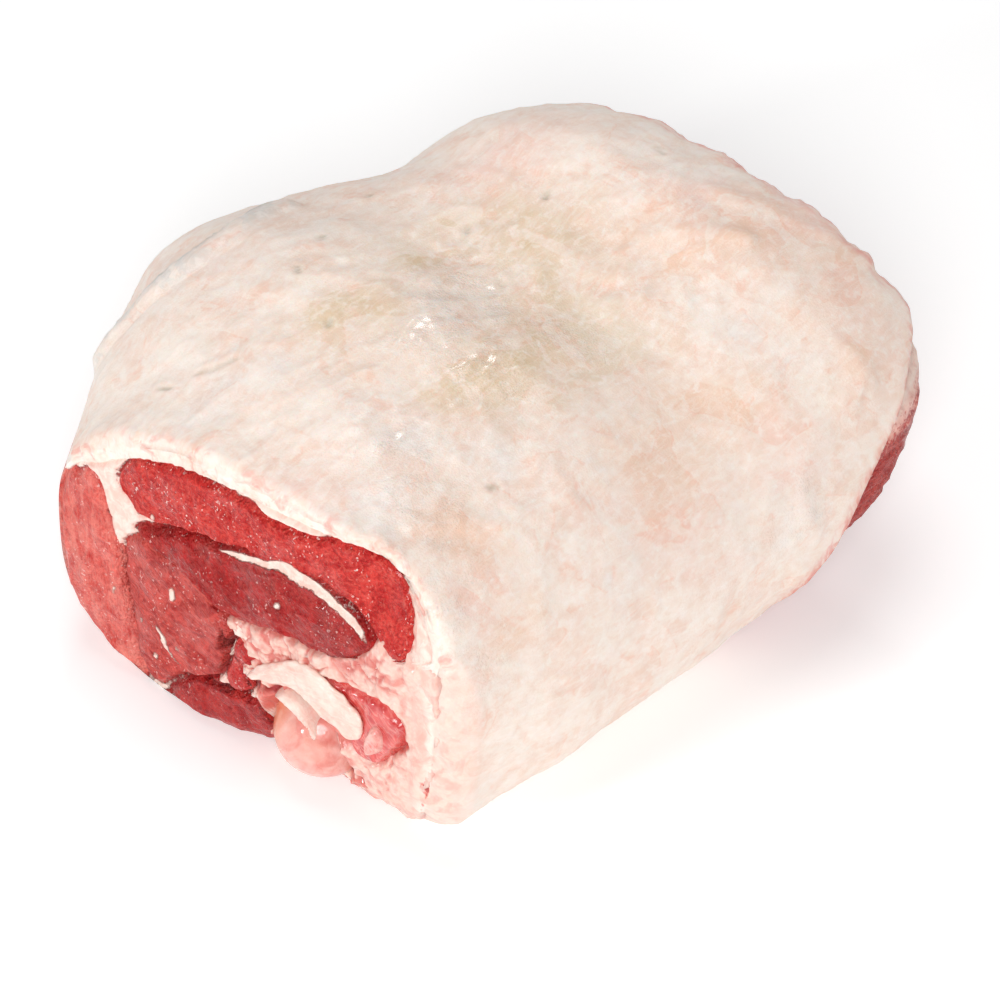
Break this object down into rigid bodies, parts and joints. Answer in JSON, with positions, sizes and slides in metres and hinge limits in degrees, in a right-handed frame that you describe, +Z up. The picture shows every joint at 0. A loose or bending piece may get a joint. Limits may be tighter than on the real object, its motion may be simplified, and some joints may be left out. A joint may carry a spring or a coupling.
{
  "type": "raw leg of lamb",
  "caption": "Thick, rounded raw lamb leg lying fat side up, with red muscles, sinew and the ball of the thigh bone showing at its square hip cut.",
  "frame": {"origin": "on the table, under the middle of the leg's bounding box", "axes": "+X from the big hip cut along the leg to the small knee cut, -Y to the side with the joint's pad of fat, +Z up, fat side up"},
  "size_m": [0.2157, 0.2181, 0.1051],
  "materials": {
    "fat": "creamy white, moist and slightly waxy",
    "lean": "deep red, wet and fibrous",
    "bone": "pink, glossy gristle over bone",
    "sinew": "ivory and satin"
  },
  "bodies": {
    "root": {"fat_cover": "fat", "lean_meat": "lean", "thigh_bone": "bone", "joint_sinew": "sinew"}
  },
  "joints": []
}
